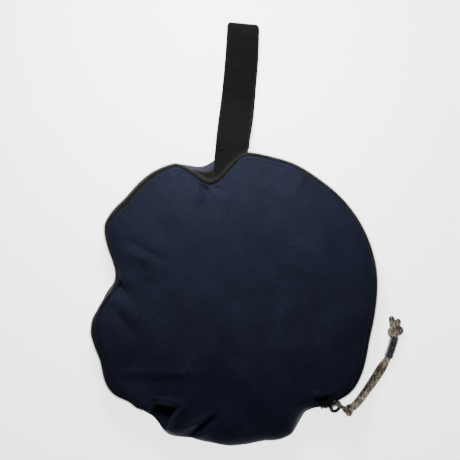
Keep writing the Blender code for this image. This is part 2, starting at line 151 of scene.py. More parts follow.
# The cord of the pull
PULL_ROUTE = (
    (94.5, -91.2, 30.0), (98.8, -89.2, 26.8), (102.6, -86.2, 22.0), (106.4, -82.2, 16.6), (109.9, -78.0, 11.9),
    (113.9, -72.9, 8.1), (118.0, -67.4, 5.9), (123.0, -59.5, 5.0), (126.6, -53.8, 5.3), (129.3, -48.9, 5.6),
    (132.2, -40.5, 5.9), (134.7, -31.8, 5.9),
)
PULL_TWIST = ((0.0, 60), (0.35, 50), (0.62, 14), (0.76, 72), (1.0, 72))
STRAND_RADIUS = 2.1
STRAND_OFFSET = 2.1
STRAND_START = 0.045
SLEEVE_SHARES = (0.775, 0.985)
RING_KNOT = (95.0, -91.6, 30.8)
END_KNOT = (135.0, -27.0, 6.0)
TAIL_A = ((133.4, -25.4, 5.8), (132.6, -22.0, 5.2), (132.2, -19.2, 4.6), (131.9, -16.8, 4.0))
TAIL_B = ((135.8, -25.4, 5.8), (136.6, -22.8, 5.2), (137.2, -21.0, 4.7), (137.5, -19.0, 4.2))
BAIL_BAR = (88.0, -88.2, 31.1)
BIGHT_TURN = 3.0
SLIDER_ANGLE = -46.5


# ---------------------------------------------------------------- camera, light and floor


def set_camera():
    """Straight above the bag, far off, with the loop at the top of the picture."""
    data = bpy.data.cameras.new("camera")
    data.sensor_width = 36.0
    data.lens = 188.2
    data.clip_end = 20.0
    camera = bpy.data.objects.new("camera", data)
    camera.location = (-0.0021, 0.0559, 2.0)
    bpy.context.scene.collection.objects.link(camera)
    bpy.context.scene.camera = camera


def add_lamp(name, place, target, size, power, spread_angle=180.0):
    data = bpy.data.lights.new(name, "AREA")
    data.shape = "DISK"
    data.size = size
    data.spread = radians(spread_angle)
    data.energy = power
    lamp = bpy.data.objects.new(name, data)
    lamp.location = place
    lamp.rotation_mode = "QUATERNION"
    lamp.rotation_quaternion = (Vector(target) - Vector(place)).to_track_quat("-Z", "Y")
    bpy.context.scene.collection.objects.link(lamp)


def light_stage():
    world = bpy.data.worlds.new("studio")
    world.use_nodes = True
    tree = world.node_tree
    direction = put(tree, "ShaderNodeTexCoord").outputs["Generated"]
    height = put(tree, "ShaderNodeSeparateXYZ", [(0, direction)]).outputs[2]
    sky = ramp(tree, height, ((0.0, (1.0, 1.0, 1.0)), (0.03, (0.75, 0.76, 0.78)), (0.12, (0.042, 0.043, 0.045))))
    background = tree.nodes["Background"]
    tree.links.new(sky, background.inputs["Color"])
    background.inputs["Strength"].default_value = 2.4
    bpy.context.scene.world = world
    add_lamp("window", (-0.05, 0.45, 0.50), (-0.01, 0.20, 0.0), 0.3, 2.1, 64.0)
    add_lamp("overhead", (0.1, 0.2, 1.4), (0.0, 0.0, 0.0), 0.8, 0.2)


def lay_floor():
    bm = bmesh.new()
    bmesh.ops.create_grid(bm, x_segments=8, y_segments=8, size=4.0)
    mesh = bpy.data.meshes.new("floor")
    bm.to_mesh(mesh)
    bm.free()
    floor = bpy.data.objects.new("floor", mesh)
    surface, tree, shader = new_surface("floor_paper", (0.93, 0.93, 0.93), 0.85)
    shader.inputs["Emission Color"].default_value = (1.0, 1.0, 1.0, 1.0)
    shader.inputs["Emission Strength"].default_value = 2.7
    mesh.materials.append(surface)
    bpy.context.scene.collection.objects.link(floor)


# ---------------------------------------------------------------- materials


def new_surface(name, colour, roughness, metallic=0.0, specular=0.5):
    surface = bpy.data.materials.new(name)
    surface.use_nodes = True
    shader = surface.node_tree.nodes["Principled BSDF"]
    shader.inputs["Base Color"].default_value = (*colour, 1.0)
    shader.inputs["Roughness"].default_value = roughness
    shader.inputs["Metallic"].default_value = metallic
    shader.inputs["Specular IOR Level"].default_value = specular
    return surface, surface.node_tree, shader


def put(tree, kind, links=(), **settings):
    """Adds a node. links are (its input, what feeds it), where a plain value is set on the socket itself."""
    node = tree.nodes.new(kind)
    for key, value in settings.items():
        setattr(node, key, value)
    for socket, source in links:
        if isinstance(source, bpy.types.NodeSocket):
            tree.links.new(source, node.inputs[socket])
        else:
            node.inputs[socket].default_value = source
    return node


def calc(tree, operation, *terms):
    return put(tree, "ShaderNodeMath", list(enumerate(terms)), operation=operation).outputs[0]


def cloth_place(tree):
    """Where a point is on its own flat cloth, in millimetres: the vector, and along and across."""
    uv = put(tree, "ShaderNodeUVMap")
    grown = put(tree, "ShaderNodeVectorMath", [(0, uv.outputs[0]), (1, (UV_SPAN,) * 3)], operation="MULTIPLY")
    parts = put(tree, "ShaderNodeSeparateXYZ", [(0, grown.outputs[0])])
    return grown.outputs[0], parts.outputs[0], parts.outputs[1]


def speckle(tree, place, scale, detail=3.0, rough=0.6):
    noise = put(
        tree,
        "ShaderNodeTexNoise",
        [("Vector", place), ("Scale", scale), ("Detail", detail), ("Roughness", rough)],
    )
    return noise.outputs[0]


def ramp(tree, value, stops, interpolation="LINEAR"):
    node = put(tree, "ShaderNodeValToRGB", [(0, value)])
    node.color_ramp.interpolation = interpolation
    while len(node.color_ramp.elements) < len(stops):
        node.color_ramp.elements.new(0.5)
    for element, (position, colour) in zip(node.color_ramp.elements, stops):
        element.position = position
        element.color = (*colour, 1.0)
    return node.outputs[0]


def spread(tree, value, low, high):
    """A value from 0 to 1 turned into one from low to high."""
    return put(
        tree, "ShaderNodeMapRange", [(0, value), (1, 0.0), (2, 1.0), (3, low), (4, high)]
    ).outputs[0]


def bump(tree, height, distance, before=None, strength=1.0):
    links = [("Height", height), ("Distance", distance), ("Strength", strength)]
    if before is not None:
        links.append(("Normal", before))
    return put(tree, "ShaderNodeBump", links).outputs[0]


def ribs(tree, value, pitch):
    """A row of round ribs, 0 in the grooves and 1 on the crests, one for each pitch of value."""
    return calc(tree, "ABSOLUTE", calc(tree, "SINE", calc(tree, "MULTIPLY", value, pi / pitch)))


def weave(tree, along, across, pitch):
    """Plain weave: threads along and across that pass over each other in turn."""
    turn = 2 * pi / pitch
    first = calc(tree, "SINE", calc(tree, "MULTIPLY", along, turn))
    second = calc(tree, "SINE", calc(tree, "MULTIPLY", across, turn))
    return calc(tree, "MULTIPLY_ADD", calc(tree, "MULTIPLY", first, second), 0.5, 0.5)


def navy_cloth():
    """Coated nylon packcloth, deep navy, with a fine plain weave and a faint satin face."""
    surface, tree, shader = new_surface("navy_packcloth", (0.005, 0.008, 0.02), 0.7, specular=0.08)
    place, along, across = cloth_place(tree)
    mottled = speckle(tree, place, 0.035, 4.0)
    grain = speckle(tree, place, 0.8, 3.0, 0.75)
    tone = calc(tree, "MULTIPLY_ADD", grain, 0.7, calc(tree, "MULTIPLY", mottled, 0.3))
    navy = ramp(
        tree, tone, ((0.34, (0.0014, 0.0019, 0.0066)), (0.5, (0.0045, 0.0058, 0.0152)), (0.66, (0.0122, 0.0148, 0.0300)))
    )
    tree.links.new(navy, shader.inputs["Base Color"])
    tree.links.new(spread(tree, mottled, 0.58, 0.78), shader.inputs["Roughness"])
    rumple = bump(tree, speckle(tree, place, 0.13, 4.0, 0.6), 0.7 * MM)
    fine = bump(tree, speckle(tree, place, 0.9, 2.0, 0.6), 0.09 * MM, rumple)
    tree.links.new(bump(tree, weave(tree, along, across, 0.62), 0.05 * MM, fine), shader.inputs["Normal"])
    shader.inputs["Sheen Weight"].default_value = 0.05
    shader.inputs["Sheen Roughness"].default_value = 0.45
    shader.inputs["Sheen Tint"].default_value = (0.55, 0.66, 1.0, 1.0)
    return surface


def black_tape():
    """Woven polyester zip tape, black with a little olive, in a slanting twill."""
    surface, tree, shader = new_surface("zip_tape_twill", (0.006, 0.006, 0.005), 0.85, specular=0.08)
    place, along, across = cloth_place(tree)
    slant = calc(tree, "ADD", along, across)
    twill = ribs(tree, slant, 0.8)
    worn = calc(tree, "MULTIPLY_ADD", twill, 0.35, calc(tree, "MULTIPLY", speckle(tree, place, 0.5), 0.65))
    tone = ramp(tree, worn, ((0.2, (0.0008, 0.0008, 0.0008)), (0.8, (0.004, 0.004, 0.0036))))
    tree.links.new(tone, shader.inputs["Base Color"])
    tree.links.new(spread(tree, speckle(tree, place, 0.2), 0.66, 0.86), shader.inputs["Roughness"])
    tree.links.new(bump(tree, twill, 0.10 * MM), shader.inputs["Normal"])
    shader.inputs["Sheen Weight"].default_value = 0.03
    return surface


def binding_tape():
    """Grosgrain binding, black, ribbed straight across."""
    surface, tree, shader = new_surface("seam_binding_grosgrain", (0.012, 0.012, 0.013), 0.8, specular=0.25)
    place, along, across = cloth_place(tree)
    rib = ribs(tree, along, 0.7)
    tone = ramp(
        tree,
        calc(tree, "MULTIPLY_ADD", rib, 0.4, calc(tree, "MULTIPLY", speckle(tree, place, 0.6), 0.6)),
        ((0.2, (0.005, 0.005, 0.006)), (0.8, (0.02, 0.02, 0.022))),
    )
    tree.links.new(tone, shader.inputs["Base Color"])
    tree.links.new(bump(tree, rib, 0.12 * MM), shader.inputs["Normal"])
    return surface


def coil_plastic():
    """Nylon coil, black with a grey bloom where it is rubbed."""
    surface, tree, shader = new_surface("nylon_coil", (0.01, 0.01, 0.009), 0.45, specular=0.22)
    place, along, across = cloth_place(tree)
    rubbed = speckle(tree, place, 0.55, 3.0, 0.7)
    tone = ramp(tree, rubbed, ((0.4, (0.002, 0.002, 0.002)), (0.6, (0.014, 0.014, 0.013)), (0.75, (0.045, 0.044, 0.040))))
    tree.links.new(tone, shader.inputs["Base Color"])
    tree.links.new(spread(tree, rubbed, 0.28, 0.5), shader.inputs["Roughness"])
    tree.links.new(bump(tree, speckle(tree, place, 2.0), 0.05 * MM), shader.inputs["Normal"])
    return surface


def thread(name, dark, light):
    """Twisted bonded thread, its plies turning round it."""
    surface, tree, shader = new_surface(name, light, 0.7, specular=0.06)
    place, along, across = cloth_place(tree)
    ply = ribs(tree, calc(tree, "ADD", along, across), 0.4)
    tree.links.new(ramp(tree, ply, ((0.1, dark), (0.9, light))), shader.inputs["Base Color"])
    tree.links.new(bump(tree, ply, 0.06 * MM), shader.inputs["Normal"])
    shader.inputs["Sheen Weight"].default_value = 0.02
    return surface


def webbing():
    """Charcoal nylon webbing: fine ribs across, a row of cords along, and paler worn selvedges."""
    surface, tree, shader = new_surface("ribbed_webbing", (0.005, 0.0052, 0.0051), 0.85, specular=0.04)
    place, along, across = cloth_place(tree)
    picks = ribs(tree, along, 1.15)
    cords = ribs(tree, across, 1.5)
    woven = calc(tree, "MULTIPLY_ADD", picks, 0.55, calc(tree, "MULTIPLY", cords, 0.45))
    from_middle = calc(tree, "ABSOLUTE", across)
    edge = put(tree, "ShaderNodeMapRange", [(0, from_middle), (1, 11.7), (2, 13.3), (3, 0.0), (4, 0.35)]).outputs[0]
    dusty = calc(tree, "MULTIPLY_ADD", speckle(tree, place, 0.3, 4.0, 0.65), 0.4, calc(tree, "MULTIPLY", woven, 0.6))
    tone = ramp(
        tree,
        calc(tree, "ADD", dusty, edge),
        ((0.2, (0.0002, 0.0003, 0.0003)), (0.5, (0.0011, 0.0012, 0.0012)), (0.95, (0.0075, 0.008, 0.0076))),
    )
    tree.links.new(tone, shader.inputs["Base Color"])
    tree.links.new(spread(tree, speckle(tree, place, 0.4), 0.6, 0.82), shader.inputs["Roughness"])
    tree.links.new(bump(tree, woven, 0.22 * MM, strength=0.9), shader.inputs["Normal"])
    shader.inputs["Sheen Weight"].default_value = 0.02
    shader.inputs["Sheen Roughness"].default_value = 0.5
    return surface


def black_metal():
    """Black lacquered zinc, worn to bare metal at its edges."""
    surface, tree, shader = new_surface("lacquered_zinc", (0.006, 0.006, 0.007), 0.42, metallic=0.15, specular=0.3)
    place = put(tree, "ShaderNodeTexCoord").outputs["Object"]
    worn = put(tree, "ShaderNodeNewGeometry").outputs["Pointiness"]
    scuffs = speckle(tree, place, 900.0, 3.0, 0.7)
    mask = calc(tree, "MULTIPLY_ADD", scuffs, 0.25, calc(tree, "MULTIPLY", worn, 0.8))
    tone = ramp(tree, mask, ((0.45, (0.004, 0.004, 0.0045)), (0.66, (0.012, 0.012, 0.012)), (0.8, (0.07, 0.067, 0.06))))
    tree.links.new(tone, shader.inputs["Base Color"])
    tree.links.new(spread(tree, scuffs, 0.25, 0.48), shader.inputs["Roughness"])
    tree.links.new(bump(tree, speckle(tree, place, 2500.0), 0.03 * MM), shader.inputs["Normal"])
    return surface


def camouflage_cord():
    """Braided sheath in tan, olive, brown and black yarns: diagonal picks that cross over each other."""
    surface, tree, shader = new_surface("camouflage_braid", (0.25, 0.18, 0.12), 0.7, specular=0.3)
    place, along, round_it = cloth_place(tree)  # round_it goes from 0 to 8 once round the cord
    rising = calc(tree, "ADD", calc(tree, "MULTIPLY", along, 0.62), round_it)
    falling = calc(tree, "SUBTRACT", calc(tree, "MULTIPLY", along, 0.62), round_it)
    rising_pick, falling_pick = calc(tree, "FLOOR", rising), calc(tree, "FLOOR", falling)
    on_top = calc(tree, "PINGPONG", calc(tree, "ADD", rising_pick, falling_pick), 1.0)
    rising_yarn = calc(tree, "FLOORED_MODULO", rising_pick, 8.0)
    falling_yarn = calc(tree, "FLOORED_MODULO", calc(tree, "ADD", falling_pick, 3.0), 8.0)
    yarn = put(tree, "ShaderNodeMix", [(0, on_top), (2, rising_yarn), (3, falling_yarn)]).outputs[0]
    stretch = calc(tree, "FLOOR", calc(tree, "MULTIPLY", along, 0.16))
    which = put(tree, "ShaderNodeCombineXYZ", [(0, yarn), (1, on_top), (2, stretch)]).outputs[0]
    chance = put(tree, "ShaderNodeTexWhiteNoise", [("Vector", which)], noise_dimensions="3D").outputs[0]
    tone = ramp(
        tree,
        chance,
        (
            (0.0, (0.008, 0.007, 0.006)), (0.3, (0.27, 0.20, 0.138)), (0.52, (0.12, 0.105, 0.06)),
            (0.68, (0.035, 0.023, 0.015)), (0.8, (0.40, 0.32, 0.235)),
        ),
        "CONSTANT",
    )
    fuzz = speckle(tree, place, 1.5, 2.0)
    shaded = put(
        tree, "ShaderNodeMix", [(0, spread(tree, fuzz, 0.0, 0.3)), (6, tone), (7, (0.03, 0.022, 0.016, 1.0))],
        data_type="RGBA",
    ).outputs[2]
    tree.links.new(shaded, shader.inputs["Base Color"])
    edges = calc(tree, "MULTIPLY", ribs(tree, rising, 1.0), ribs(tree, falling, 1.0))
    strands = bump(tree, speckle(tree, place, 3.0, 2.0), 0.06 * MM)
    tree.links.new(bump(tree, edges, 0.32 * MM, strands), shader.inputs["Normal"])
    tree.links.new(spread(tree, fuzz, 0.62, 0.8), shader.inputs["Roughness"])
    shader.inputs["Sheen Weight"].default_value = 0.2
    return surface


def sleeve_plastic():
    """Heat-shrink tube, dark grey and glossy, with fine stretch marks along it."""
    surface, tree, shader = new_surface("shrink_sleeve", (0.022, 0.023, 0.025), 0.32, specular=0.5)
    place, along, across = cloth_place(tree)
    drawn = put(tree, "ShaderNodeVectorMath", [(0, place), (1, (0.25, 2.0, 1.0))], operation="MULTIPLY").outputs[0]
    marks = speckle(tree, drawn, 0.8, 3.0)
    tree.links.new(ramp(tree, marks, ((0.3, (0.006, 0.0062, 0.007)), (0.75, (0.024, 0.0245, 0.026)))), shader.inputs["Base Color"])
    tree.links.new(spread(tree, marks, 0.24, 0.42), shader.inputs["Roughness"])
    tree.links.new(bump(tree, marks, 0.12 * MM), shader.inputs["Normal"])
    shader.inputs["Coat Weight"].default_value = 0.25
    return surface


def melted_tip():
    """Cord end melted to a hard dark bead."""
    surface, tree, shader = new_surface("melted_nylon", (0.02, 0.013, 0.009), 0.3, specular=0.5)
    place, along, across = cloth_place(tree)
    lumps = speckle(tree, place, 0.9, 3.0)
    tree.links.new(ramp(tree, lumps, ((0.3, (0.006, 0.005, 0.004)), (0.8, (0.06, 0.036, 0.022)))), shader.inputs["Base Color"])
    tree.links.new(bump(tree, lumps, 0.25 * MM), shader.inputs["Normal"])
    return surface


# ---------------------------------------------------------------- mesh building


def make_piece(name, points, faces, surface, uvs=None):
    """A mesh object from points in millimetres, with a UV for each point and the cloth's size in them."""
    mesh = bpy.data.meshes.new(name)
    mesh.from_pydata((np.asarray(points, float) * MM).tolist(), [], faces if isinstance(faces, list) else faces.tolist())
    mesh.polygons.foreach_set("use_smooth", [True] * len(mesh.polygons))
    if uvs is not None:
        corners = np.empty(len(mesh.loops), int)
        mesh.loops.foreach_get("vertex_index", corners)
        layer = mesh.uv_layers.new(name="UVMap")
        layer.data.foreach_set("uv", (np.asarray(uvs, float)[corners] / UV_SPAN).ravel())
    mesh.materials.append(surface)
    mesh.validate()
    mesh.update()
    piece = bpy.data.objects.new(name, mesh)
    bpy.context.scene.collection.objects.link(piece)
    return piece


def grid_faces(rows, columns, closed_rows=False, closed_columns=False, start=0):
    """Four-sided faces of a grid of points that is stored row by row."""
    i = np.arange(rows if closed_rows else rows - 1)
    j = np.arange(columns if closed_columns else columns - 1)
    i, j = np.meshgrid(i, j, indexing="ij")
    down, right = (i + 1) % rows, (j + 1) % columns
    corners = [i * columns + j, i * columns + right, down * columns + right, down * columns + j]
    return start + np.stack([c.ravel() for c in corners], axis=1)


def grid_normals(grid, closed_columns=False):
    """The unit normal at each point of a grid, along rows cross along columns."""
    down = np.gradient(grid, axis=0)
    if closed_columns:
        right = (np.roll(grid, -1, axis=1) - np.roll(grid, 1, axis=1)) / 2
    else:
        right = np.gradient(grid, axis=1)
    normal = np.cross(down, right)
    return normal / np.maximum(np.linalg.norm(normal, axis=2, keepdims=True), 1e-9)


def cloth_piece(name, grid, uvs, thick, surface, closed_columns=False):
    """A cloth of two faces with closed edges. grid is its outer face, whose normals point out."""
    rows, columns = grid.shape[:2]
    inner = grid - grid_normals(grid, closed_columns) * thick
    faces = [grid_faces(rows, columns, closed_columns=closed_columns)]
    faces.append(faces[0][:, ::-1] + rows * columns)
    size = rows * columns
    j = np.arange(columns if closed_columns else columns - 1)
    following = (j + 1) % columns
    for row, order in ((0, 1), (rows - 1, -1)):
        first, second = row * columns + j, row * columns + following
        faces.append(np.stack([first, first + size, second + size, second][::order], axis=1))
    if not closed_columns:
        i = np.arange(rows - 1)
        for column, order in ((0, -1), (columns - 1, 1)):
            first, second = i * columns + column, (i + 1) * columns + column
            faces.append(np.stack([first, first + size, second + size, second][::order], axis=1))
    points = np.concatenate([grid.reshape(-1, 3), inner.reshape(-1, 3)])
    flat = uvs.reshape(-1, 2)
    return make_piece(name, points, np.concatenate(faces), surface, np.concatenate([flat, flat]))


def smooth_rows(rows, steps):
    """Rows of points drawn through a few rows, along a smooth curve."""
    rows = np.asarray(rows, float)
    ends = np.concatenate([2 * rows[:1] - rows[1:2], rows, 2 * rows[-1:] - rows[-2:-1]])
    made = []
    for k in range(len(rows) - 1):
        a, b, c, d = ends[k : k + 4]
        for u in np.arange(steps) / steps:
            made.append(
                0.5 * (2 * b + (c - a) * u + (2 * a - 5 * b + 4 * c - d) * u**2 + (3 * b - a - 3 * c + d) * u**3)
            )
    made.append(rows[-1])
    return np.array(made)


def lengths_along(points, axis=0):
    """How far each point is along its line."""
    steps = np.linalg.norm(np.diff(points, axis=axis), axis=-1)
    start = np.zeros_like(np.take(steps, [0], axis=axis))
    return np.concatenate([start, np.cumsum(steps, axis=axis)], axis=axis)


def even_steps(points, spacing):
    """The same line with its points at even steps."""
    points = np.asarray(points, float)
    along = lengths_along(points)
    wanted = np.linspace(0, along[-1], max(2, round(along[-1] / spacing) + 1))
    return np.stack([np.interp(wanted, along, points[:, k]) for k in range(3)], axis=1)


def smooth_line(points, spacing):
    return even_steps(smooth_rows(points, 20), spacing)


def carried_frames(points, start_up=(0, 0, 1)):
    """Two directions square to a line at each of its points, carried along it without twist."""
    along = np.gradient(points, axis=0)
    along /= np.linalg.norm(along, axis=1, keepdims=True)
    side = np.cross(along[0], start_up)
    side /= np.linalg.norm(side)
    sides = []
    for direction in along:
        side = side - direction * np.dot(side, direction)
        side /= np.linalg.norm(side)
        sides.append(side)
    sides = np.array(sides)
    return sides, np.cross(sides, along)


def tube(name, points, radius, surface, sides=12, uv_round=1.0, frames=None, oval=1.0, tips=True):
    """A round cord along points, with rounded ends. radius may change along it."""
    points = np.asarray(points, float)
    count = len(points)
    radius = np.broadcast_to(np.asarray(radius, float), (count,)).copy()
    first, second = carried_frames(points) if frames is None else frames
    along = lengths_along(points)
    if tips:  # two narrower rings close off each end
        ahead = np.gradient(points, axis=0)
        ahead /= np.linalg.norm(ahead, axis=1, keepdims=True)
        points = np.concatenate(
            [[points[0] - ahead[0] * radius[0] * 0.5], points, [points[-1] + ahead[-1] * radius[-1] * 0.5]]
        )
        first = np.concatenate([first[:1], first, first[-1:]])
        second = np.concatenate([second[:1], second, second[-1:]])
        radius = np.concatenate([radius[:1] * 0.55, radius, radius[-1:] * 0.55])
        along = np.concatenate([[along[0]], along, [along[-1]]])
        count += 2
    turn = np.linspace(0, 2 * pi, sides, endpoint=False)
    offset = first[:, None] * np.cos(turn)[None, :, None] + second[:, None] * np.sin(turn)[None, :, None] * oval
    grid = points[:, None] + offset * radius[:, None, None]
    u = np.repeat(along[:, None], sides, axis=1)
    v = np.repeat(np.linspace(0, uv_round, sides, endpoint=False)[None, :], count, axis=0)
    faces = grid_faces(count, sides, closed_columns=True)[:, ::-1].tolist()
    faces += [list(range(sides)), list(range(count * sides - 1, (count - 1) * sides - 1, -1))]
    piece = make_ring_piece(name, grid.reshape(-1, 3), faces, surface, u, v, sides, uv_round)
    return piece


def make_ring_piece(name, points, faces, surface, u, v, sides, uv_round):
    """A tube's mesh, whose UV closes round it without a seam that runs backwards."""
    mesh = bpy.data.meshes.new(name)
    mesh.from_pydata((points * MM).tolist(), [], faces)
    mesh.polygons.foreach_set("use_smooth", [True] * len(mesh.polygons))
    corners = np.empty(len(mesh.loops), int)
    mesh.loops.foreach_get("vertex_index", corners)
    starts = np.empty(len(mesh.polygons), int)
    mesh.polygons.foreach_get("loop_start", starts)
    totals = np.empty(len(mesh.polygons), int)
    mesh.polygons.foreach_get("loop_total", totals)
    uv = np.stack([u.ravel()[corners], v.ravel()[corners]], axis=1)
    quads = starts[totals == 4]
    block = quads[:, None] + np.arange(4)
    values = uv[block, 1]
    wraps = (values.max(axis=1) - values.min(axis=1)) > uv_round / 2
    values[wraps[:, None] & (values < uv_round / 2)] += uv_round
    uv[block, 1] = values
    layer = mesh.uv_layers.new(name="UVMap")
    layer.data.foreach_set("uv", (uv / UV_SPAN).ravel())
    mesh.materials.append(surface)
    mesh.update()
    piece = bpy.data.objects.new(name, mesh)
    bpy.context.scene.collection.objects.link(piece)
    return piece


def stitch_row(name, line, normals, surface, length=2.4, gap=0.7, radius=0.24, sink=0.12):
    """A row of lockstitches that lie on a surface, each one dipping into it at both ends."""
    along = lengths_along(line)
    count = int(along[-1] // (length + gap))
    shares = np.array([0.0, 0.18, 0.5, 0.82, 1.0])
    lifts = np.array([-1.2, 0.35, 0.75, 0.35, -1.2]) * sink
    widths = np.array([0.5, 0.9, 1.0, 0.9, 0.5]) * radius
    starts = (np.arange(count) + 0.5) * along[-1] / count - length / 2
    wanted = starts[:, None] + shares * length
    middle = np.stack([np.interp(wanted, along, line[:, k]) for k in range(3)], axis=2)
    up = np.stack([np.interp(wanted, along, normals[:, k]) for k in range(3)], axis=2)
    up /= np.linalg.norm(up, axis=2, keepdims=True)
    ahead = np.gradient(middle, axis=1)
    ahead /= np.linalg.norm(ahead, axis=2, keepdims=True)
    side = np.cross(up, ahead)
    middle = middle + up * lifts[None, :, None]
    turn = np.linspace(0, 2 * pi, 6, endpoint=False)
    ring = side[:, :, None] * np.cos(turn)[None, None, :, None] + up[:, :, None] * np.sin(turn)[None, None, :, None]
    points = middle[:, :, None] + ring * widths[None, :, None, None]
    one = grid_faces(len(shares), 6, closed_columns=True)
    faces = (one[None] + (np.arange(count) * len(shares) * 6)[:, None, None]).reshape(-1, 4)
    u = np.broadcast_to(wanted[:, :, None], points.shape[:3]).ravel()
    v = np.broadcast_to(turn / 2, points.shape[:3]).ravel()
    return make_piece(name, points.reshape(-1, 3), faces, surface, np.stack([u, v], axis=1))


# ---------------------------------------------------------------- the bag's form


def swell(angle, bumps):
    """The sum of smooth bumps round the rim, at each angle."""
    angle = np.asarray(angle, float)
    total = np.zeros_like(angle)
    for middle, height, before, after in bumps:
        off = (angle - middle + 180) % 360 - 180
        share = np.abs(off) / np.where(off < 0, before, after)
        total += height * np.clip(1 - share**2, 0, None) ** 2
    return total


def ease(value, low, high):
    share = np.clip((np.asarray(value, float) - low) / (high - low), 0, 1)
    return share * share * (3 - 2 * share)


def mixed(first, second, share):
    """first where share is 0 and second where it is 1."""
    share = np.asarray(share, float)
    if np.ndim(first) > share.ndim:
        share = share[..., None]
    return first * (1 - share) + second * share


def puckers(angle, seed, lowest, highest, count):
    """Uneven small waves round the rim, from -1 to 1 or so. They close up after a full turn."""
    chance = np.random.default_rng(seed)
    total = np.zeros_like(np.asarray(angle, float))
    for cycles in chance.integers(lowest, highest, count):
        total += chance.uniform(0.4, 1.0) * np.sin(np.radians(angle) * cycles + chance.uniform(0, 2 * pi))
    return total / (0.5 * count**0.5 * 1.4)


def waves(x, y, seed, shortest, longest, count):
    """Soft uneven waves over the cloth, from -1 to 1 or so."""
    chance = np.random.default_rng(seed)
    total = np.zeros_like(x)
    for _ in range(count):
        way, length = chance.uniform(0, pi), chance.uniform(shortest, longest)
        total += np.sin((x * cos(way) + y * sin(way)) * 2 * pi / length + chance.uniform(0, 2 * pi))
    return total / count**0.5 / 1.4


def zip_zone(angle):
    """1 where the zip runs, 0 along the hinge side, and a smooth step between them."""
    off = np.abs((np.asarray(angle, float) - 90 + 180) % 360 - 180)
    return 1 - ease(off, 141.0, 148.0)


def polar(angle, radius, height):
    turn, radius, height = np.broadcast_arrays(np.radians(angle), radius, height)
    return np.stack([radius * np.cos(turn), radius * np.sin(turn), height], axis=-1)


def chain_middle(angle):
    lean = swell(angle, CHAIN_TURNS) / 42.0
    radius = CHAIN_RADIUS + swell(angle, FRONT_RIM) - 0.9 * lean
    return polar(angle, radius, CHAIN_HEIGHT + swell(angle, CHAIN_RISES))


def chain_frames(angle):
    """The chain's middle, and its directions along, across to the front, and out of its face."""
    middle = chain_middle(angle)
    along = chain_middle(angle + 0.2) - chain_middle(angle - 0.2)
    along /= np.linalg.norm(along, axis=-1, keepdims=True)
    outwards = np.cross(along, (0.0, 0.0, 1.0))
    outwards /= np.linalg.norm(outwards, axis=-1, keepdims=True)
    upwards = np.cross(outwards, along)
    turn = np.radians(CHAIN_TURN + swell(angle, CHAIN_TURNS))[..., None]
    across = upwards * np.cos(turn) - outwards * np.sin(turn)
    face = outwards * np.cos(turn) + upwards * np.sin(turn)
    return middle, along, across, face


def chain_point(angle, across, out):
    middle, _, sideways, face = chain_frames(angle)
    across, out = np.asarray(across, float)[..., None], np.asarray(out, float)[..., None]
    return middle + sideways * across + face * out


def hem_back(angle):
    return HEM_BACK + swell(angle, HEM_WIDER)


def front_rim(angle):
    """The edge of the front panel's cloth."""
    on_zip = chain_point(angle, hem_back(angle), np.full(np.shape(angle), 1.7))
    rolled = polar(
        angle,
        HINGE_RIM_RADIUS + swell(angle, FRONT_RIM) + 0.5 * puckers(angle, 3, 14, 30, 6),
        HINGE_RIM_HEIGHT + 1.2 * puckers(angle, 4, 9, 20, 5),
    )
    return mixed(rolled, on_zip, zip_zone(angle))


def side_seam(angle):
    """Where the back tape is sewn to the side: radius there, between the front rim's and the back rim's shape."""
    return 119.9 + 0.5 * swell(angle, FRONT_RIM) + 0.5 * swell(angle, BACK_RIM)


def fold_relief(x, y):
    """The height that the folds, the lower slope and the pocket give the front panel."""
    height = np.zeros_like(x)
    for amount, left, right, line in FRONT_FOLDS:
        line = np.asarray(line, float)
        along = lengths_along(line)
        nearest = np.full(x.shape, 1e9)
        signed = np.zeros_like(x)
        share = np.zeros_like(x)
        for k in range(len(line) - 1):
            start, step = line[k], line[k + 1] - line[k]
            size = step @ step
            t = np.clip(((x - start[0]) * step[0] + (y - start[1]) * step[1]) / size, 0, 1)
            dx, dy = x - start[0] - t * step[0], y - start[1] - t * step[1]
            far = np.hypot(dx, dy)
            closer = far < nearest
            nearest = np.where(closer, far, nearest)
            signed = np.where(closer, step[0] * dy - step[1] * dx, signed)
            share = np.where(closer, (along[k] + t * size**0.5) / along[-1], share)
        reach = np.where(signed > 0, left, right)
        height += amount * np.exp(-((nearest / reach) ** 1.5)) * np.sin(pi * np.clip(share, 0.02, 0.98)) ** 0.7
    return height


def slope_relief(x, y):
    """The front falls away below its full part."""
    fine = np.linspace(-130, 130, 261)
    edge = np.interp(fine, *np.array(SLOPE_EDGE, float).T)
    kernel = np.exp(-((np.arange(-18, 19) / 6.0) ** 2))
    edge = np.convolve(np.pad(edge, 18, mode="edge"), kernel / kernel.sum(), mode="valid")
    below = np.interp(x, fine, edge) - y
    return -SLOPE_DROP * ease(below, 0, SLOPE_LENGTH)


def pocket_relief(x, y):
    """The hollows of the front, with steep walls."""
    height = np.zeros_like(x)
    for corners, depth, wall in POCKETS:
        corners = np.array(corners, float)
        clockwise = np.sign(np.cross(corners[1] - corners[0], corners[2] - corners[1]))
        inside = np.full(x.shape, 1e9)
        for k in range(len(corners)):
            start, step = corners[k], corners[(k + 1) % len(corners)] - corners[k]
            side = (step[0] * (y - start[1]) - step[1] * (x - start[0])) / np.hypot(*step)
            inside = np.minimum(inside, side * clockwise)
        height -= depth * ease(inside, 0.0, wall)
    return height


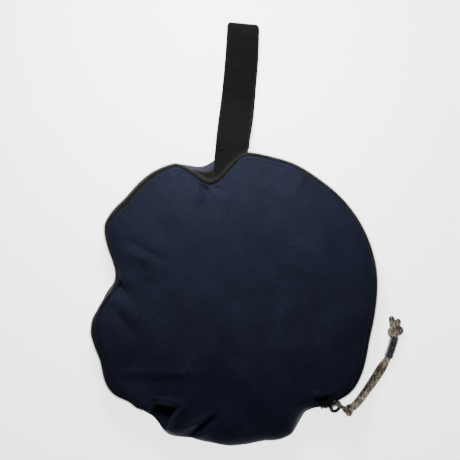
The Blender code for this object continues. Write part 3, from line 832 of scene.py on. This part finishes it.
def panel_points(angle, share):
    """The front panel's outer face. share runs from 0 at the middle to 1 at its edge."""
    angle, share = np.broadcast_arrays(np.asarray(angle, float), np.asarray(share, float))
    rim = front_rim(angle)
    even = polar(angle, PANEL_RADIUS, 0.0)
    pulled = ease(share, 0.25, 1.0) ** 1.4
    flat = even * share[..., None] + (rim - even) * pulled[..., None]
    x, y = flat[..., 0], flat[..., 1]
    zone = zip_zone(angle)
    round_off = mixed(np.clip(1 - share**8, 0, 1) ** 0.55, np.clip(1 - share**3.6, 0, 1) ** 0.85, zone)
    top = TOP_HEIGHT + slope_relief(x, y) + 0.35 * waves(x, y, 11, 30, 80, 9)
    height = rim[..., 2] + (top - rim[..., 2]) * round_off
    settled = np.clip(1 - share**38, 0, 1)  # the folds die out at the sewn edge
    height = height + (fold_relief(x, y) + pocket_relief(x, y)) * settled
    near_edge = ease(share, 0.84, 0.97) * np.clip(1 - share**60, 0, 1)
    height = height + 0.16 * near_edge * puckers(angle, 5, 23, 95, 12)
    # the sewn hem: a groove where it is stitched, and a small step where its cloth ends
    from_edge = (1 - share) * PANEL_RADIUS
    height = height - 0.32 * np.exp(-(((from_edge - 3.4) / 0.8) ** 2)) * zone
    height = height - 0.16 * ease(from_edge, 8.4, 9.6) * ease(-from_edge, -22, -10) * zone
    height = np.minimum(height, 43.5)
    return np.stack([x, y, height], axis=-1)


# ---------------------------------------------------------------- the soft pieces


def make_front_panel(surface):
    angle = np.linspace(0, 360, 640, endpoint=False)
    share = 1 - (1 - np.linspace(0.012, 1, 96)) ** 1.25
    grid = panel_points(angle[None, :], share[:, None])
    flat = polar(angle[None, :], PANEL_RADIUS * share[:, None], np.zeros((1, 1)))[..., :2]
    panel = cloth_piece("front_panel_cloth", grid, flat, CLOTH_THICK, surface, closed_columns=True)
    close_middle(panel)
    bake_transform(panel)
    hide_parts("front_panel", "front_hinge_flap")
    return panel


def close_middle(panel):
    """Fills the small round openings at the middle of both faces."""
    bm = bmesh.new()
    bm.from_mesh(panel.data)
    ends = [edge for edge in bm.edges if len(edge.link_faces) == 1]
    inner = [edge for edge in bm.edges if all(v.co.xy.length < 3 * MM for v in edge.verts)]
    walls = [f for f in bm.faces if all(v.co.xy.length < 3 * MM for v in f.verts) and abs(f.normal.z) < 0.5]
    bmesh.ops.delete(bm, geom=walls, context="FACES_ONLY")
    open_edges = [edge for edge in inner if edge.is_valid and len(edge.link_faces) == 1]
    bmesh.ops.holes_fill(bm, edges=open_edges + [e for e in ends if e.is_valid], sides=0)
    for face in bm.faces:
        face.smooth = True
    bm.to_mesh(panel.data)
    bm.free()


def make_back_panel(surface):
    angle = np.linspace(0, 360, 480, endpoint=False)
    share = np.linspace(0.012, 1, 60)
    radius = 116.0 * share[:, None] + swell(angle, BACK_RIM)[None, :] * ease(share, 0.3, 1.0)[:, None]
    flat = polar(angle[None, :] + 0 * radius, radius, 0.0)
    wave = 0.5 + 0.5 * np.clip(waves(flat[..., 0], flat[..., 1], 21, 25, 70, 8), -1, 1)
    height = 1.0 + 1.6 * wave * (1 - share[:, None] ** 6)
    grid = np.stack([flat[..., 0], flat[..., 1], height], axis=-1)
    panel = cloth_piece("back_panel_cloth", grid, flat[..., :2], 0.75, surface, closed_columns=True)
    close_middle(panel)
    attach(panel, "shell")
    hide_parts("back_panel")
    return panel


def side_rows(angle):
    """The side from the back seam up to the zip's tape, or to the front panel on the hinge side."""
    front, back = swell(angle, FRONT_RIM), swell(angle, BACK_RIM)
    zone = zip_zone(angle)
    heights_zip = (0.9, 1.8, 4.2, 7.5, 11.5, 15.5, 18.8, 20.5)
    radii_zip = (115.4, 117.4, 119.0, 120.0, 120.4, 120.2, 119.9, 119.4)
    heights_hinge = (0.9, 1.8, 4.5, 8.5, 13.0, 17.5, 21.5, 24.3)
    radii_hinge = (115.4, 117.4, 119.2, 120.4, 120.8, 120.6, 119.9, 118.9)
    rows = []
    for k in range(8):
        height = mixed(heights_hinge[k], heights_zip[k], zone)
        radius = mixed(radii_hinge[k], radii_zip[k], zone)
        top_shape = mixed(front, 0.5 * (front + back), zone)
        shape = mixed(back, top_shape, ease(height, 7, 21))
        loose = sin(pi * k / 7) * (0.7 * puckers(angle, 31 + k // 3, 16, 44, 7) - 0.3)
        slump = 1.0 * sin(pi * k / 7) * puckers(angle, 36, 9, 24, 5)
        rows.append(polar(angle, radius + shape + loose, height + slump))
    return np.array(rows)


def make_side(surface):
    angle = np.linspace(0, 360, 720, endpoint=False)
    grid = smooth_rows(side_rows(angle), 4)
    v = lengths_along(grid).mean(axis=1)
    uvs = np.stack(np.broadcast_arrays(np.radians(angle)[None, :] * 118.0, v[:, None]), axis=-1)
    side = cloth_piece("side_cloth", grid[::-1], uvs[::-1], CLOTH_THICK, surface, closed_columns=True)
    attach(side, "shell")
    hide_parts("side_gusset", "hinge_gusset")
    return side


def tape_uvs(grid, angle):
    v = lengths_along(grid).mean(axis=1)
    return np.stack(np.broadcast_arrays(np.radians(angle)[None, :] * CHAIN_RADIUS, v[:, None]), axis=-1)


def make_back_tape(surface):
    angle = np.linspace(*ZIP_ENDS, 680)
    seam = side_seam(angle)
    ones = np.ones_like(angle)
    rows = [
        chain_point(angle, -0.35 * ones, 0.0 * ones),
        chain_point(angle, -1.8 * ones, 0.0 * ones),
        chain_point(angle, -3.3 * ones, 0.1 * ones),
        mixed(chain_point(angle, -4.6 * ones, 0.0 * ones), polar(angle, seam + 0.5, 22.5), 0.35 * ones),
        mixed(chain_point(angle, -6.4 * ones, -0.8 * ones), polar(angle, seam + 0.6, 21.0), 0.8 * ones),
        polar(angle, seam + 0.5, 18.6 + 0.25 * puckers(angle, 41, 30, 70, 6)),
    ]
    grid = smooth_rows(rows, 4)
    tape = cloth_piece("back_zip_tape_twill", grid, tape_uvs(grid, angle), TAPE_THICK, surface)
    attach(tape, "shell")
    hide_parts("back_zip_tape")
    return tape


def make_front_tape(surface):
    angle = np.linspace(*ZIP_ENDS, 680)
    ones = np.ones_like(angle)
    hem = hem_back(angle)
    under = panel_points(angle, 0.955 * ones) - (0, 0, 2.0)
    rows = [
        chain_point(angle, 0.35 * ones, 0.0 * ones),
        chain_point(angle, 1.8 * ones, 0.0 * ones),
        chain_point(angle, 3.3 * ones, 0.15 * ones),
        chain_point(angle, hem, 0.35 * ones),
        mixed(chain_point(angle, hem + 2.0, 0.2 * ones), under, 0.3 * ones),
        under,
    ]
    grid = smooth_rows(rows, 4)
    tape = cloth_piece(
        "front_zip_tape_twill", grid[::-1], tape_uvs(grid, angle)[::-1], TAPE_THICK, surface
    )
    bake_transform(tape)
    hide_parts("front_zip_tape")
    return tape


def make_coil(name, side, surface):
    """One spiral of the zip. side is 1 for the front's and -1 for the back's, half a tooth further on."""
    fine = np.linspace(*COIL_ENDS, 3000)
    along = lengths_along(chain_middle(fine))
    teeth = int(along[-1] / COIL_PITCH)
    phase = np.arange(teeth * 10 + 1) / 10
    place = (phase + (0.5 if side < 0 else 0.0)) / (teeth + 0.5) * along[-1]
    angle = np.interp(place, along, fine)
    turn = phase * 2 * pi
    across = side * (1.12 - 1.32 * np.cos(turn))
    out = 1.3 + 0.75 * np.sin(turn)
    line = chain_point(angle, across, out)
    way = np.gradient(line, axis=0)
    way /= np.linalg.norm(way, axis=1, keepdims=True)
    forward = chain_frames(angle)[1]
    first = forward - way * np.sum(forward * way, axis=1, keepdims=True)
    first /= np.linalg.norm(first, axis=1, keepdims=True)
    return tube(name, line, COIL_WIRE, surface, 6, 1.0, (first, np.cross(first, way)))


def make_bindings(surface):
    """Binding tape folded over the raw seams inside, round the back and under the front's hem."""
    angle = np.linspace(0, 360, 480, endpoint=False)
    shape = swell(angle, BACK_RIM)
    rows = [
        polar(angle, 113.6 + shape, 2.0), polar(angle, 111.6 + shape, 2.9 + 0.2 * puckers(angle, 51, 30, 80, 6)),
        polar(angle, 109.6 + shape, 2.5), polar(angle, 109.0 + shape, 1.9),
    ]
    grid = smooth_rows(rows, 3)
    back = cloth_piece(
        "back_seam_binding_tape", grid[::-1], tape_uvs(grid, angle)[::-1], 0.5, surface, True
    )
    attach(back, "shell")
    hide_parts("back_seam_binding")
    angle = np.linspace(-43.2, 223.2, 520)
    rows = []
    for share, below in ((0.935, 2.6), (0.918, 3.1), (0.898, 3.1), (0.886, 2.3)):
        rows.append(panel_points(angle, np.full(angle.shape, share)) - (0, 0, below))
    grid = smooth_rows(rows, 3)
    front = cloth_piece("front_seam_binding_tape", grid, tape_uvs(grid, angle), 0.5, surface)
    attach(front, "lid")
    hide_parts("front_seam_binding")
    return back, front


def webbing_line():
    """The webbing's middle line along the loop, with the way it faces: out, round the fold and back."""
    line = [(v, z, 0) for v, z in (*LOOP_UNDER, *LOOP_FOLD, *LOOP_OVER)]
    return smooth_rows(np.array(line, float), 6)[:, :2]


def make_webbing(surface):
    """One length of webbing, both ends sewn in behind the zip's tape, folded back at the far end."""
    half = WEBBING_WIDTH / 2
    across = np.concatenate([np.linspace(-half, half, 21)])
    lean_side, lean_out = np.array((cos(LOOP_LEAN), -sin(LOOP_LEAN))), np.array((sin(LOOP_LEAN), cos(LOOP_LEAN)))
    pivot = np.array(LOOP_PIVOT)
    line = webbing_line()
    total = lengths_along(line)
    share = total / total[-1]
    rows = []
    for k, (v, z) in enumerate(line):
        # both layers bow to the right, the lower one lies a little further over, and both waver slightly
        aside = 0.9 * (1 - ease(share[k], 0.3, 0.6)) + 0.35 * sin(v * 0.07 + (2 if share[k] > 0.5 else 0))
        aside += LOOP_BOW * sin(pi * v / LOOP_REACH)
        spread_out = 1 + 0.012 * sin(v * 0.11) - 0.09 * exp(-(((LOOP_REACH - v) / 1.4) ** 2))
        place = pivot + lean_out * v + lean_side * aside
        xy = place[None, :] + lean_side[None, :] * across[:, None] * spread_out
        cup = 0.35 * sin(v * 0.05 + 1.0) * (across / half) ** 2 * (1 if share[k] > 0.5 else -0.2)
        rows.append(np.column_stack([xy, z + cup]))
    start_xy = rows[0][:, :2]
    end_xy = rows[-1][:, :2]
    sewn = reach_back(end_xy, lean_out, lambda angle: chain_point(angle, np.full(21, -2.3), np.full(21, 0.9)))
    hip = reach_back(end_xy, lean_out, lambda angle: polar(angle, side_seam(angle) + 1.9, 19.6))
    before = [
        np.column_stack([start_xy - lean_out * 8.3, np.full(21, 14.6)]),
        np.column_stack([start_xy - lean_out * 4.9, np.full(21, 15.6)]),
    ]
    after = [
        np.column_stack([(end_xy - lean_out * 4.6), np.full(21, 18.0)]),
        mixed(hip, np.column_stack([end_xy - lean_out * 6, np.full(21, 19.4)]), np.full(21, 0.35)),
        mixed(sewn, hip, np.full(21, 0.45)) + (0, 0, 0.5),
        sewn,
    ]
    start_rows = smooth_rows(np.array([*before, rows[0]]), 4)[:-1]
    end_rows = smooth_rows(np.array([rows[-1], *after]), 5)[1:]
    middle = np.concatenate([start_rows, np.array(rows), end_rows])
    normals = grid_normals(middle)
    # the section: full in its middle, thinner and rounded at both selvedges
    thick = WEBBING_THICK / 2 * (1 - 0.35 * np.clip(np.abs(across / half), 0, 1) ** 10)
    upper = middle + normals * thick[None, :, None]
    lower = middle - normals * thick[None, :, None]
    grid = np.concatenate([upper, lower[:, ::-1]], axis=1)
    along = np.broadcast_to(lengths_along(middle).mean(axis=1)[:, None], grid.shape[:2])
    sideways = np.broadcast_to(np.concatenate([across, across[::-1]])[None, :], grid.shape[:2])
    rows_count, columns = grid.shape[:2]
    faces = grid_faces(rows_count, columns, closed_columns=True).tolist()
    for start in (0, (rows_count - 1) * columns):
        for j in range(20):
            quad = [start + j, start + j + 1, start + columns - 2 - j, start + columns - 1 - j]
            faces.append(quad if start else quad[::-1])
    uvs = np.stack([along, sideways], axis=-1).reshape(-1, 2)
    loop = make_piece("webbing_loop_strap", grid.reshape(-1, 3), faces, surface, uvs)
    soften(loop, 1)
    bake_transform(loop)
    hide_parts("webbing_loop", "loop_anchor")
    return loop, middle


def reach_back(start, direction, edge):
    """Where lines from start, drawn back against direction, meet an edge given by its angle."""
    place = start.copy()
    for _ in range(12):
        goal = edge(np.degrees(np.arctan2(place[:, 1], place[:, 0])))
        over = np.hypot(*place.T) - np.hypot(goal[:, 0], goal[:, 1])
        place = place - direction * over[:, None] * 0.8
    return np.column_stack([place, goal[:, 2]])


def soften(piece, levels):
    """Applies one round of subdivision to a piece's mesh."""
    modifier = piece.modifiers.new("soft", "SUBSURF")
    modifier.levels = modifier.render_levels = levels
    bpy.context.view_layer.update()
    made = bpy.data.meshes.new_from_object(piece.evaluated_get(bpy.context.evaluated_depsgraph_get()))
    piece.modifiers.clear()
    piece.data = made


def make_bar_tacks(surface):
    """Two dense rows of zigzag thread across the webbing's root."""
    for name, node, side in (
        ("bar_tack_left", "loop_bar_tack_left", -1), ("bar_tack_right", "loop_bar_tack_right", 1),
    ):
        x = side * np.linspace(9.0, 11.6, 2)
        points = []
        for k in range(19):
            share = k / 18
            angle = np.degrees(np.arctan2(122.0, x[k % 2]))
            radius = 122.3 + 0.55 * share
            points.append(polar(np.array(angle), radius + 0.7, 20.6 - 3.4 * share))
        line = smooth_line(points, 0.5)
        tack = tube(name, line, 0.24, surface, 6, 1.0)
        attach(tack, "shell")
        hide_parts(node)


# ---------------------------------------------------------------- stitching


def add_stitching(navy_thread, black_thread):
    angle = np.linspace(-49, 229, 1400)
    ones = np.ones_like(angle)
    shares = np.full_like(angle, 1 - 3.4 / PANEL_RADIUS)
    line = panel_points(angle, shares) + (0, 0, 0.05)
    inner = panel_points(angle, shares - 0.01)
    ahead = np.gradient(line, axis=0)
    normals = np.cross(ahead, inner - line)
    normals /= np.linalg.norm(normals, axis=1, keepdims=True)
    hem = stitch_row("hem_stitches", line, normals, navy_thread, radius=0.2)
    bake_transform(hem)

    seam = side_seam(angle)
    line = polar(angle, seam + 0.62, 19.7)
    row = stitch_row("side_seam_stitches", line, polar(angle, 1.0, 0.0), black_thread)
    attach(row, "shell")

    face = chain_frames(angle)[3]
    for name, side, rides in (("back_coil_stitches", -1, "shell"), ("front_coil_stitches", 1, "lid")):
        line = chain_point(angle, side * 1.75 * ones, 2.42 * ones)
        row = stitch_row(name, line, face, black_thread, length=1.5, gap=0.45, radius=0.2)
        if rides == "lid":
            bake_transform(row)
        else:
            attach(row, "shell")


# ---------------------------------------------------------------- the slider and its cord


def slider_place(points):
    """Points in the slider's own frame (along the zip, across it, out of its face), set on the zip."""
    middle, along, across, face = (v[0] for v in chain_frames(np.array([SLIDER_ANGLE])))
    points = np.asarray(points, float)
    return middle + points[..., :1] * along + points[..., 1:2] * across + points[..., 2:] * face


def join_pieces(first, others):
    """One object from several that share a material."""
    with bpy.context.temp_override(active_object=first, selected_editable_objects=[first, *others]):
        bpy.ops.object.join()
    return first


def make_slider(metal):
    """Two domed plates with lips that hold the coils, and the post that parts them."""
    plates = []
    x = np.linspace(-5.0, 5.0, 17)
    width = 4.15 * np.clip(1 - np.abs(x / 5.12) ** 5, 0, 1) ** 0.4 * (0.84 + 0.16 * ease(x, -4.5, 1.0))
    section = np.array(
        [(-1, 2.6), (-1, 3.2), (-0.92, 3.6), (-0.6, 3.82), (0, 3.92), (0.6, 3.82), (0.92, 3.6), (1, 3.2), (1, 2.6),
         (1, 1.7), (0.86, 1.62), (0.82, 2.6), (0, 2.62), (-0.82, 2.6), (-0.86, 1.62), (-1, 1.7)]
    )
    for name, side in (("upper", 1), ("lower", -1)):
        z = 1.1 + side * (section[:, 1] - 1.1)
        grid = np.stack(np.broadcast_arrays(x[:, None], width[:, None] * section[None, :, 0], z[None, :]), axis=-1)
        faces = grid_faces(17, 16, closed_columns=True).tolist() + [list(range(16)), list(range(16 * 17 - 1, 16 * 16 - 1, -1))]
        plate = make_piece("slider_plate_" + name, slider_place(grid).reshape(-1, 3), faces, metal)
        face_outwards(plate)
        soften(plate, 1)
        plates.append(plate)
    post = tube("slider_post", slider_place([(3.3, 0, z) for z in np.linspace(-1.0, 3.2, 9)]), 1.15, metal, 16, 4)
    slider = join_pieces(plates[0], [plates[1], post])
    slider.name = "slider_shell"
    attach(slider, "slider")
    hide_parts("slider_body")


def make_bail(metal):
    """The flat arch on the slider's back, its feet thickened into lugs."""
    line = smooth_line(
        [(-4.0, 0, 4.1), (-4.1, 0, 5.2), (-3.6, 0, 6.6), (-2.3, 0, 7.7), (0, 0, 8.1), (2.3, 0, 7.7), (3.6, 0, 6.6),
         (4.1, 0, 5.2), (4.0, 0, 4.1)], 0.35
    )
    share = np.linspace(-1, 1, len(line))
    placed = slider_place(line)
    across = slider_place([(0, 1, 0)])[0] - slider_place([(0, 0, 0)])[0]
    ahead = np.gradient(placed, axis=0)
    ahead /= np.linalg.norm(ahead, axis=1, keepdims=True)
    first = np.broadcast_to(across, placed.shape)
    radius = 1.6 + 0.15 * np.clip(np.abs(share) * 4 - 3, 0, 1)
    bail = tube("slider_bail_arch", placed, radius, metal, 16, 4, (first, np.cross(first, ahead)), 0.95)
    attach(bail, "slider")
    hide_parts("slider_bail")


def make_stops(plastic):
    """The melted-on stops that close both ends of the chain."""
    for name, node, angle in (("zip_start_stop", "zip_bottom_stop", -50.5), ("zip_end_stop", "zip_top_stop", 230.5)):
        across = np.linspace(-2.0, 2.0, 11)
        line = chain_point(np.full(11, angle), across, 0.7 + 0.12 * np.cos(across * 2))
        stop = tube(name, line, 1.25, plastic, 14, 4)
        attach(stop, "shell")
        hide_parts(node)


def twist_at(share):
    for (first, start), (second, end) in zip(PULL_TWIST, PULL_TWIST[1:]):
        if share <= second:
            return start + (end - start) * float(ease(share, first, second))
    return PULL_TWIST[-1][1]


def pull_stations(spacing):
    """The pull's middle line, with the direction from one strand to the other at each point, and its other side."""
    line = smooth_line(PULL_ROUTE, spacing)
    along = np.gradient(line, axis=0)
    along /= np.linalg.norm(along, axis=1, keepdims=True)
    level = np.cross(along, (0, 0, 1))
    level /= np.linalg.norm(level, axis=1, keepdims=True)
    raised = np.cross(level, along)
    turn = np.radians([twist_at(k / (len(line) - 1)) for k in range(len(line))])[:, None]
    offset = level * np.cos(turn) + raised * np.sin(turn)
    return line, offset, np.cross(offset, along)


def make_strands(cord):
    line, offset, _ = pull_stations(0.8)
    start = round(STRAND_START * (len(line) - 1))
    strands = []
    for name, node, side in (("pull_strand_left", "pull_strand_a", 1), ("pull_strand_right", "pull_strand_b", -1)):
        path = (line + offset * side * STRAND_OFFSET)[start:]
        strand = tube(name, path, STRAND_RADIUS, cord, 16, 8.0)
        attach(strand, "pull")
        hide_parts(node)
        strands.append((strand, path))
    return strands


def knot_curve(middle, size, turn, tilt, steps=150):
    """An overhand knot's own line, drawn tight round a middle point."""
    t = np.linspace(0, 2 * pi, steps, endpoint=False)
    x = (np.sin(t) + 2 * np.sin(2 * t)) / 3
    y = (np.cos(t) - 2 * np.cos(2 * t)) / 3
    z = -np.sin(3 * t)
    points = np.stack([x * size[0], y * size[1], z * size[2]], axis=1)
    spin = np.array(Matrix.Rotation(turn, 3, "Z") @ Matrix.Rotation(tilt, 3, "X"))
    return points @ spin.T + np.array(middle)


def make_knot(name, node, middle, size, turn, tilt, radius, cord):
    line = knot_curve(middle, size, turn, tilt)
    line = np.concatenate([line, line[:1]])
    knot = tube(name, even_steps(line, 0.5), radius, cord, 14, 8.0, tips=False)
    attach(knot, "pull")
    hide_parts(node)
    return knot


def make_bight(cord):
    """The cord's loop through the bail's hole, both sides going on into the ring knot."""
    bar, knot = np.array(BAIL_BAR), np.array(RING_KNOT)
    away = knot - bar
    away /= np.linalg.norm(away)
    up = np.array((0.0, 0.0, 1.0)) - away * away[2]
    up /= np.linalg.norm(up)
    points = [knot + up * 1.2]
    for step in np.radians(np.linspace(-120, 120, 13))[::-1]:
        points.append(bar - away * BIGHT_TURN * cos(step) + up * BIGHT_TURN * sin(step))
    points.append(knot - up * 1.2)
    bight = tube("pull_bight_loop", smooth_line(points, 0.4), 1.65, cord, 12, 8.0)
    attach(bight, "pull")
    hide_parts("pull_bight")
    return bight


def make_sleeve(plastic):
    """A shrunk tube round both strands, waisted between its rolled ends."""
    line, offset, other = pull_stations(0.5)
    first, last = (round(share * (len(line) - 1)) for share in SLEEVE_SHARES)
    chosen = slice(first, last + 1)
    line, offset, other = line[chosen], offset[chosen], other[chosen]
    count, sides = len(line), 28
    share = np.linspace(0, 1, count)
    turn = np.linspace(0, 2 * pi, sides, endpoint=False)
    roll = 0.22 * np.exp(-((share / 0.04) ** 2)) + 0.22 * np.exp(-(((1 - share) / 0.04) ** 2))
    lumps = 0.10 * np.sin(share * 19) + 0.07 * np.sin(share * 43 + 1)
    rings = []
    for swollen, base in ((roll + lumps + 1.2, 2.25), (0 * share, 2.25)):
        narrow = base + swollen
        wide = STRAND_OFFSET * np.abs(np.cos(turn)) ** 0.8 * np.sign(np.cos(turn))
        ring = (
            line[:, None]
            + offset[:, None] * (wide[None, :] + np.cos(turn)[None, :] * narrow[:, None])[..., None]
            + other[:, None] * (np.sin(turn)[None, :] * narrow[:, None])[..., None]
        )
        rings.append(ring)
    grid = np.concatenate([rings[0], rings[1][::-1]])
    along = lengths_along(line)
    u = np.concatenate([along, along[::-1]])
    uvs = np.stack(np.broadcast_arrays(u[:, None], (turn * 3)[None, :]), axis=-1)
    faces = grid_faces(2 * count, sides, closed_rows=True, closed_columns=True)
    sleeve = make_piece("shrink_sleeve_tube", grid.reshape(-1, 3), faces, plastic, uvs.reshape(-1, 2))
    face_outwards(sleeve)
    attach(sleeve, "pull")
    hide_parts("cord_sleeve")
    return sleeve


def face_outwards(piece):
    bm = bmesh.new()
    bm.from_mesh(piece.data)
    bmesh.ops.recalc_face_normals(bm, faces=bm.faces)
    bm.to_mesh(piece.data)
    bm.free()


def make_tails(cord, melted):
    """The two cut ends past the end knot, each with its tip melted to a bead."""
    made = []
    for name, node, route in (("cord_tail_left", "cord_tail_a", TAIL_A), ("cord_tail_right", "cord_tail_b", TAIL_B)):
        line = smooth_line(route, 0.5)
        tail = tube(name, line[:-3], 2.7, cord, 14, 8.0)
        tip_line = line[-5:]
        tip = tube(name + "_tip", tip_line, np.linspace(2.75, 2.5, len(tip_line)), melted, 14, 8.0)
        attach(tail, "pull")
        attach(tip, "pull")
        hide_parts(node)
        made += [tail, tip]
    return made


def make_pull():
    cord = camouflage_cord()
    strands = make_strands(cord)
    bight = make_bight(cord)
    ring = make_knot("ring_knot_cord", "ring_knot", RING_KNOT, (3.0, 3.1, 2.4), radians(20), radians(-20), 2.15, cord)
    sleeve = make_sleeve(sleeve_plastic())
    end = make_knot("end_knot_cord", "end_knot", END_KNOT, (5.5, 4.7, 2.8), radians(70), radians(8), 2.3, cord)
    tails = make_tails(cord, melted_tip())


# ---------------------------------------------------------------- the whole


def build():
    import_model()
    set_camera()
    make_pull()
    light_stage()
    lay_floor()

    navy, tape, coil = navy_cloth(), black_tape(), coil_plastic()
    metal = black_metal()
    front = make_front_panel(navy)
    back = make_back_panel(navy)
    side = make_side(navy)
    make_back_tape(tape)
    make_front_tape(tape)
    front_coil = make_coil("front_coil_spiral", 1, coil)
    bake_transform(front_coil)
    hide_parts("front_zip_coil")
    back_coil = make_coil("back_coil_spiral", -1, coil)
    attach(back_coil, "shell")
    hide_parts("back_zip_coil")
    make_bindings(binding_tape())
    loop, _ = make_webbing(webbing())
    black_thread = thread("black_thread", (0.0015, 0.0015, 0.0015), (0.008, 0.008, 0.0085))
    make_bar_tacks(black_thread)
    add_stitching(thread("navy_thread", (0.0012, 0.0017, 0.005), (0.0038, 0.0052, 0.0135)), black_thread)
    make_slider(metal)
    make_bail(metal)
    make_stops(coil)


build()
